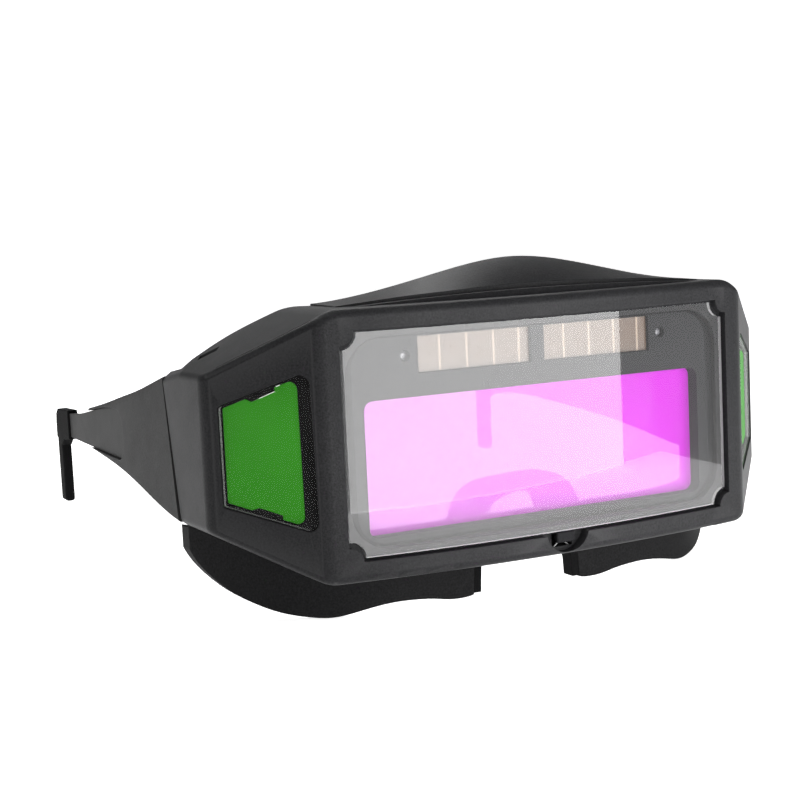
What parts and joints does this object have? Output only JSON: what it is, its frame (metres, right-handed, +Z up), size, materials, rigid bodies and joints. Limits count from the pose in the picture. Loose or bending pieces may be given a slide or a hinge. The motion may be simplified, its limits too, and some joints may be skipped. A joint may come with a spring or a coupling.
{
  "type": "welding goggles",
  "caption": "Wrap-around welding goggles with an auto-darkening filter cartridge, green side panes, a face mask and folding temples with sliding legs.",
  "frame": {"origin": "middle of the box that holds the goggles with open temples, at its lowest level, which is the underside of the face mask", "axes": "+X to the wearer's left, +Y back towards the ears, +Z up"},
  "size_m": [0.1562, 0.1598, 0.081],
  "materials": {
    "shell_plastic": "satin dark grey moulding with a fine grain",
    "leg_plastic": "satin dark grey, a shade lighter than the shell",
    "mask_plastic": "matte near-black",
    "pad_rubber": "soft matte black",
    "seal_foam": "matte black foam rubber",
    "clear_plate": "clear polycarbonate, glossy",
    "side_clear": "clear polycarbonate, glossy",
    "green_pane": "dense green tint, glossy",
    "cartridge_plastic": "satin dark grey",
    "filter_glass": "pink interference coating",
    "valve_glass": "pale magenta, clear while off",
    "solar_cell": "brown amorphous silicon under clear resin, with light lines",
    "sensor_lens": "grey lens",
    "circuit_board": "green lacquer",
    "battery_steel": "nickel plated",
    "spring_steel": "bare spring steel",
    "screw_steel": "blackened steel",
    "pin_steel": "bare steel"
  },
  "bodies": {
    "front": {"backup_battery": "battery_steel", "circuit_board": "circuit_board", "clip_screws": "screw_steel", "face_mask": "mask_plastic", "filter_back_cover": "cartridge_plastic", "filter_bezel": "cartridge_plastic", "filter_clip_left": "mask_plastic", "filter_clip_right": "mask_plastic", "filter_seal": "seal_foam", "front_shell": "shell_plastic", "hinge_pin_left": "pin_steel", "hinge_pin_right": "pin_steel", "inner_cover_plate": "clear_plate", "latch_spring": "spring_steel", "light_sensor_left": "sensor_lens", "light_sensor_right": "sensor_lens", "light_valve": "valve_glass", "nose_pad": "pad_rubber", "side_cover_left": "side_clear", "side_cover_right": "side_clear", "side_filter_left": "green_pane", "side_filter_right": "green_pane", "solar_cell_left": "solar_cell", "solar_cell_right": "solar_cell", "uv_ir_filter": "filter_glass"},
    "cover": {"cover_plate": "clear_plate"},
    "latch": {"cover_latch": "shell_plastic"},
    "arm_left": {"temple_left": "shell_plastic"},
    "arm_right": {"temple_right": "shell_plastic"},
    "leg_left": {"temple_leg_left": "leg_plastic", "ear_tip_left": "pad_rubber"},
    "leg_right": {"temple_leg_right": "leg_plastic", "ear_tip_right": "pad_rubber"}
  },
  "joints": [
    {"name": "temple_fold_left", "type": "hinge", "parent": "front", "child": "arm_left", "pos_m": [0.0716, -0.0341, 0.03461], "axis": [0, 0, 1], "range_deg": [0, 90]},
    {"name": "temple_fold_right", "type": "hinge", "parent": "front", "child": "arm_right", "pos_m": [-0.0716, -0.0341, 0.03461], "axis": [0, 0, -1], "range_deg": [0, 80]},
    {"name": "leg_slide_left", "type": "slide", "parent": "arm_left", "child": "leg_left", "axis": [-0.0384, 0.9993, 0], "range_m": [-0.008, 0]},
    {"name": "leg_slide_right", "type": "slide", "parent": "arm_right", "child": "leg_right", "axis": [0.0384, 0.9993, 0], "range_m": [-0.008, 0]},
    {"name": "latch_press", "type": "slide", "parent": "front", "child": "latch", "axis": [0, 0, -1], "range_m": [0, 0.001], "stiffness_N_per_m": 400, "springref_m": -0.0008, "deforming": ["latch_spring"]},
    {"name": "cover_lift", "type": "slide", "parent": "front", "child": "cover", "axis": [0, -1, 0], "range_m": [0, 0.012]}
  ]
}
